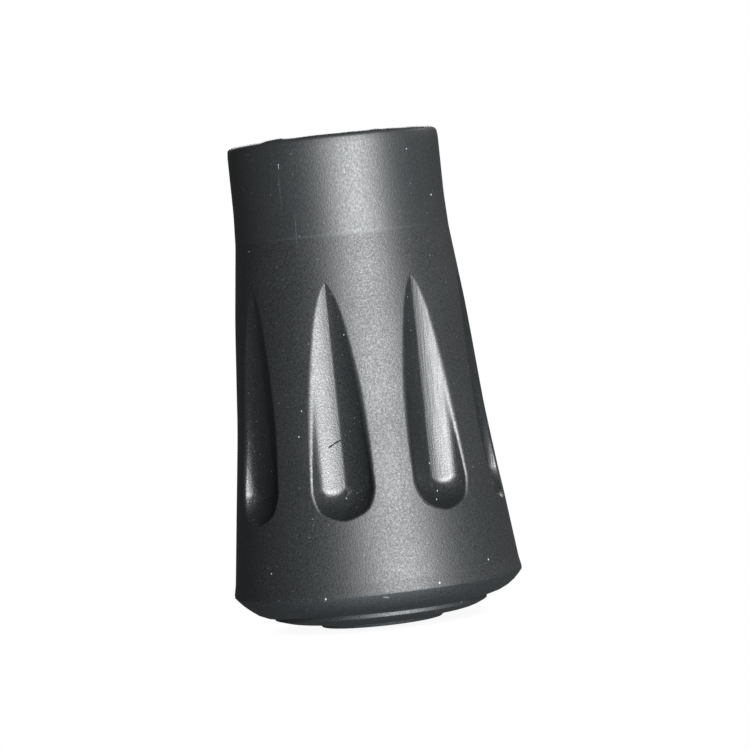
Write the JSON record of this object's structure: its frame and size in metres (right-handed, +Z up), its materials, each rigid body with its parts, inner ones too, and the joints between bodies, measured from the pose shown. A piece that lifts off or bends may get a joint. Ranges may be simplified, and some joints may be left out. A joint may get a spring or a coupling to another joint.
{
  "type": "rubber cane tip",
  "caption": "Rubber ferrule pushed over the end of a walking pole or cane, with a straight neck, a fluted flaring body, a sharp rim and a stepped domed tread.",
  "frame": {"origin": "centre of the flat tread pad, on the ground plane z = 0", "axes": "+Z up along the pole's axis, out of the mouth of the bore; one flute faces -Y"},
  "size_m": [0.0296, 0.0296, 0.05],
  "materials": {
    "moulded_rubber": "satin"
  },
  "bodies": {
    "root": {"rubber_tip": "moulded_rubber"}
  },
  "joints": []
}
